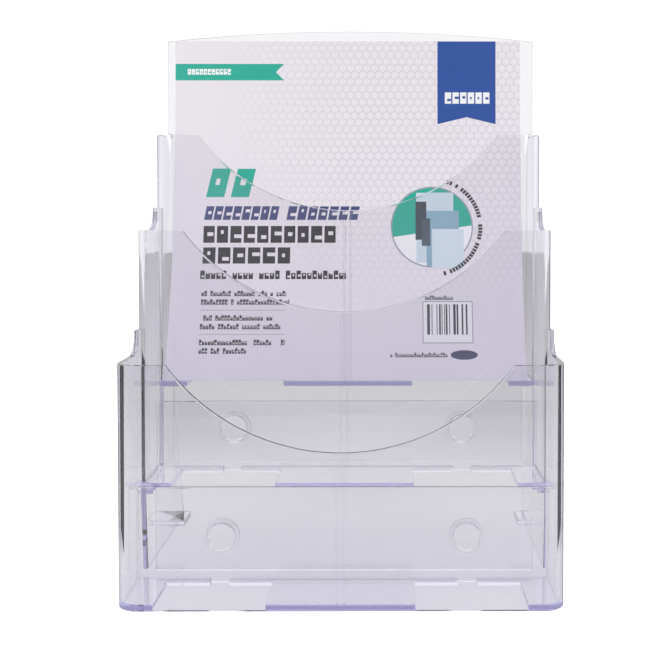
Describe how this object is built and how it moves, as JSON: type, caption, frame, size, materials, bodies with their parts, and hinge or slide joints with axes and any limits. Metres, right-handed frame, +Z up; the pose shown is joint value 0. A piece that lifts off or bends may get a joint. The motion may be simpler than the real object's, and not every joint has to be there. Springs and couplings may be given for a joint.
{
  "type": "brochure rack",
  "caption": "Three-tier clear plastic leaflet rack with stepped trays, joining plugs, two slide-out rear legs and a lift-out card.",
  "frame": {"origin": "centre of the footprint box at table height", "axes": "+X to the rack's right as seen from the front, +Y to the back, +Z up"},
  "size_m": [0.2794, 0.164, 0.3265],
  "materials": {
    "clear_tray": "polished, water-clear, faint violet where seen end on",
    "clear_plug": "polished, water-clear",
    "clear_leg": "polished, water-clear",
    "printed_card": "smooth coated print"
  },
  "bodies": {
    "trays": {"front_tray": "clear_tray", "middle_tray": "clear_tray", "rear_tray": "clear_tray", "front_plug_left": "clear_plug", "front_plug_right": "clear_plug", "rear_plug_left": "clear_plug", "rear_plug_right": "clear_plug"},
    "card": {"display_card": "printed_card"},
    "leg_left": {"left_leg": "clear_leg"},
    "leg_right": {"right_leg": "clear_leg"}
  },
  "joints": [
    {"name": "card_lift", "type": "slide", "parent": "trays", "child": "card", "axis": [0, 0.0958, 0.9954], "range_m": [0, 0.15]},
    {"name": "leg_left_slide", "type": "slide", "parent": "trays", "child": "leg_left", "axis": [0, 1, 0], "range_m": [0, 0.06]},
    {"name": "leg_right_slide", "type": "slide", "parent": "trays", "child": "leg_right", "axis": [0, 1, 0], "range_m": [0, 0.06]}
  ]
}
